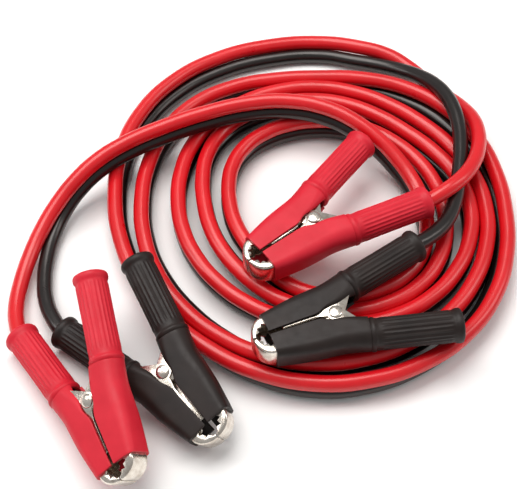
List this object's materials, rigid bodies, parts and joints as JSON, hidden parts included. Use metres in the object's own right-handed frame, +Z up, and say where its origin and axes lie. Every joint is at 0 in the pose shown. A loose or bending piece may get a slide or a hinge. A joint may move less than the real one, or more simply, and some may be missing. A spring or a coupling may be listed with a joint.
{
  "type": "car jumper cable",
  "caption": "Twin red and black car jumper cable, loosely coiled, with insulated crocodile clamps sprung shut at both ends.",
  "frame": {"origin": "on the floor, under the middle of the box round the four clamps", "axes": "+Z up from the floor; +X to the right and +Y away from the viewer as the cable lies in the picture"},
  "size_m": [0.3827, 0.4168, 0.0715],
  "materials": {
    "cable_red": "glossy extruded PVC, red",
    "cable_black": "glossy extruded PVC, black",
    "sleeve_red": "satin dip-moulded PVC, red",
    "sleeve_black": "satin dip-moulded PVC, black",
    "plated_steel": "bright nickel-plated pressed steel"
  },
  "bodies": {
    "cable_and_fixed_arms": {"cable_coil": "cable_red", "red_tail": "cable_red", "black_tail": "cable_black", "red_lead": "cable_red", "black_lead": "cable_black", "front_red_cable_jaw": "plated_steel", "front_red_cable_sleeve": "sleeve_red", "front_red_rivet": "plated_steel", "front_red_spring": "plated_steel", "front_black_cable_jaw": "plated_steel", "front_black_cable_sleeve": "sleeve_black", "front_black_rivet": "plated_steel", "front_black_spring": "plated_steel", "coil_red_cable_jaw": "plated_steel", "coil_red_cable_sleeve": "sleeve_red", "coil_red_rivet": "plated_steel", "coil_red_spring": "plated_steel", "coil_black_cable_jaw": "plated_steel", "coil_black_cable_sleeve": "sleeve_black", "coil_black_rivet": "plated_steel", "coil_black_spring": "plated_steel"},
    "front_red_free_arm": {"front_red_free_jaw": "plated_steel", "front_red_free_sleeve": "sleeve_red"},
    "front_black_free_arm": {"front_black_free_jaw": "plated_steel", "front_black_free_sleeve": "sleeve_black"},
    "coil_red_free_arm": {"coil_red_free_jaw": "plated_steel", "coil_red_free_sleeve": "sleeve_red"},
    "coil_black_free_arm": {"coil_black_free_jaw": "plated_steel", "coil_black_free_sleeve": "sleeve_black"}
  },
  "joints": [
    {"name": "front_red_clamp_hinge", "type": "hinge", "parent": "cable_and_fixed_arms", "child": "front_red_free_arm", "pos_m": [-0.0916, -0.0861, 0.03033], "axis": [-0.5475, -0.3151, 0.7753], "range_deg": [0, 24], "stiffness_Nm_per_rad": 1.2, "springref_deg": -40.11},
    {"name": "front_black_clamp_hinge", "type": "hinge", "parent": "cable_and_fixed_arms", "child": "front_black_free_arm", "pos_m": [-0.0446, -0.0609, 0.02312], "axis": [-0.2709, -0.2857, 0.9192], "range_deg": [0, 24], "stiffness_Nm_per_rad": 1.2, "springref_deg": -40.11},
    {"name": "coil_red_clamp_hinge", "type": "hinge", "parent": "cable_and_fixed_arms", "child": "coil_red_free_arm", "pos_m": [0.0604, 0.0581, 0.0373], "axis": [0, 0, -1], "range_deg": [0, 24], "stiffness_Nm_per_rad": 1.2, "springref_deg": -40.11},
    {"name": "coil_black_clamp_hinge", "type": "hinge", "parent": "cable_and_fixed_arms", "child": "coil_black_free_arm", "pos_m": [0.0734, -0.0239, 0.0373], "axis": [0, 0, 1], "range_deg": [0, 24], "stiffness_Nm_per_rad": 1.2, "springref_deg": -40.11}
  ]
}
